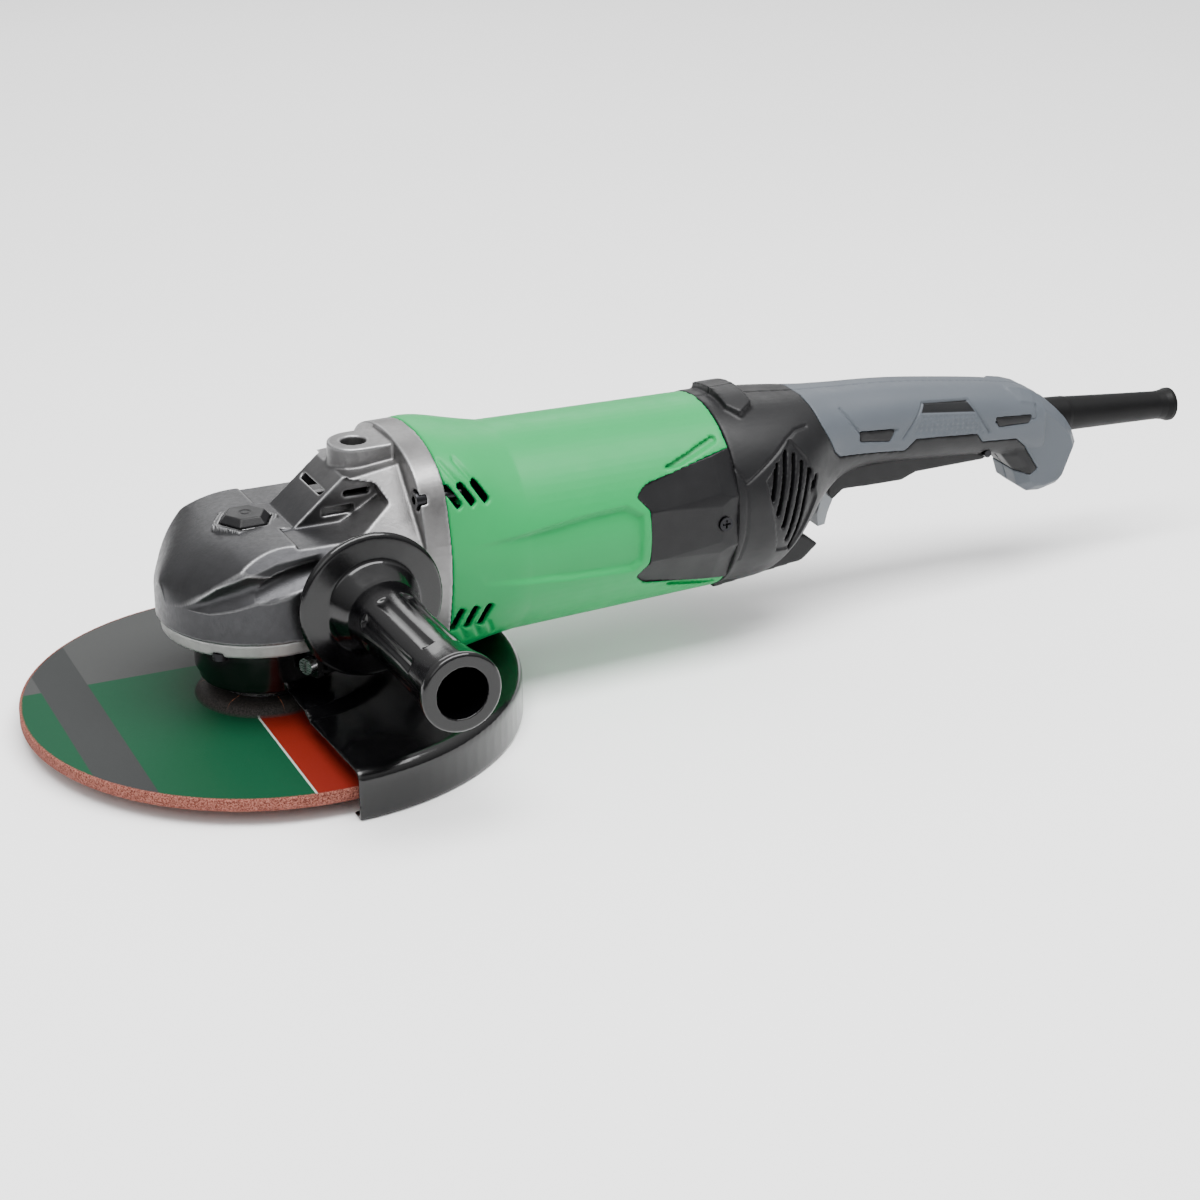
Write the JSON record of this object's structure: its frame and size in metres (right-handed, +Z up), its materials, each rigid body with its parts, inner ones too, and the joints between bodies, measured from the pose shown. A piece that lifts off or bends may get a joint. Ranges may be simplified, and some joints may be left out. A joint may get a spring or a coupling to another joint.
{
  "type": "angle grinder",
  "caption": "Two-hand angle grinder: cast gear case with guarded depressed-centre wheel, barrel motor body, rear trigger handle and screw-in side handle.",
  "frame": {"origin": "on the spindle axis, at the upper face of the grinding wheel's rim", "axes": "+Z up the spindle away from the work, +X from the spindle to the rear handle, -Y towards the side handle"},
  "size_m": [0.6304, 0.2835, 0.134],
  "materials": {
    "cast_alu": "satin",
    "cover_alu": "satin",
    "dark_screws": "satin",
    "steel": "satin",
    "bearing_steel": "polished",
    "gear_steel": "oiled",
    "spring_steel": "satin",
    "abrasive": "grainy",
    "guard_black": "gloss",
    "green_plastic": "satin",
    "black_plastic": "matte",
    "gloss_black_plastic": "gloss",
    "grey_rubber": "soft matte",
    "black_rubber": "matte",
    "grey_plastic": "matte",
    "laminations": "laminated",
    "copper": "varnished",
    "brass": "satin",
    "carbon": "matte"
  },
  "bodies": {
    "housing": {"gear_case": "cast_alu", "bearing_cover": "cover_alu", "trigger_pin": "dark_screws", "gear_case_screws": "dark_screws", "bearing_cover_screws": "dark_screws", "brush_cover_screws": "dark_screws", "handle_screws": "dark_screws", "cord_clamp_screws": "dark_screws", "side_handle_stud": "steel", "bearing_sleeve": "steel", "spindle_bearing_lower": "bearing_steel", "spindle_bearing_upper": "bearing_steel", "pinion_bearing": "bearing_steel", "rear_bearing": "bearing_steel", "lock_spring": "spring_steel", "trigger_spring": "spring_steel", "brush_springs": "spring_steel", "motor_housing": "green_plastic", "brush_cover_left": "black_plastic", "brush_cover_right": "black_plastic", "handle_shell_left": "black_plastic", "handle_shell_right": "black_plastic", "fan_baffle": "black_plastic", "switch_body": "black_plastic", "cord_clamp": "black_plastic", "side_handle_grip": "gloss_black_plastic", "grip_left": "grey_rubber", "grip_right": "grey_rubber", "cord_guard": "black_rubber", "dust_seal": "black_rubber", "stator_core": "laminations", "stator_coils": "copper", "brush_holders": "brass", "carbon_brushes": "carbon"},
    "spindle_body": {"spindle": "steel", "bevel_gear": "gear_steel", "inner_flange": "steel", "grinding_wheel": "abrasive", "lock_nut": "steel"},
    "armature": {"armature_shaft": "steel", "armature_core": "laminations", "armature_windings": "copper", "commutator": "copper", "cooling_fan": "black_plastic", "bevel_pinion": "gear_steel"},
    "guard": {"wheel_guard": "guard_black", "guard_clamp_band": "guard_black", "guard_clamp_screw": "steel"},
    "lock_button": {"spindle_lock_button": "black_plastic", "lock_pin": "steel"},
    "trigger_body": {"trigger": "black_plastic", "lock_off_pin": "steel"},
    "switch_button": {"switch_plunger": "grey_plastic"},
    "lock_off": {"lock_off_lever": "grey_plastic"}
  },
  "joints": [
    {"name": "spindle_spin", "type": "hinge", "parent": "housing", "child": "spindle_body", "pos_m": [0, 0, 0.02], "axis": [0, 0, 1], "continuous": true},
    {"name": "armature_spin", "type": "hinge", "parent": "housing", "child": "armature", "pos_m": [0.14, 0, 0.0626], "axis": [1, 0, 0], "continuous": true},
    {"name": "guard_turn", "type": "hinge", "parent": "housing", "child": "guard", "pos_m": [0, 0, 0.026], "axis": [0, 0, 1], "range_deg": [-75, 75]},
    {"name": "lock_press", "type": "slide", "parent": "housing", "child": "lock_button", "axis": [0, 0, -1], "range_m": [0, 0.004], "stiffness_N_per_m": 900, "springref_m": -0.002, "deforming": ["lock_spring"]},
    {"name": "trigger_pull", "type": "hinge", "parent": "housing", "child": "trigger_body", "pos_m": [0.391, 0, 0.059], "axis": [0, 1, 0], "range_deg": [0, 5], "stiffness_Nm_per_rad": 3, "springref_deg": -2.86, "deforming": ["trigger_spring"]},
    {"name": "switch_press", "type": "slide", "parent": "housing", "child": "switch_button", "axis": [0, 0, 1], "range_m": [0, 0.00546]},
    {"name": "lock_off_push", "type": "hinge", "parent": "trigger_body", "child": "lock_off", "pos_m": [0.305, 0, 0.0505], "axis": [0, 1, 0], "range_deg": [0, 22], "stiffness_Nm_per_rad": 0.05, "springref_deg": -2.86}
  ],
  "couplings": [
    {"joint": "armature_spin", "follows": "spindle_spin", "ratio": 4},
    {"joint": "switch_press", "follows": "trigger_pull", "m_per_rad": 0.0625}
  ]
}
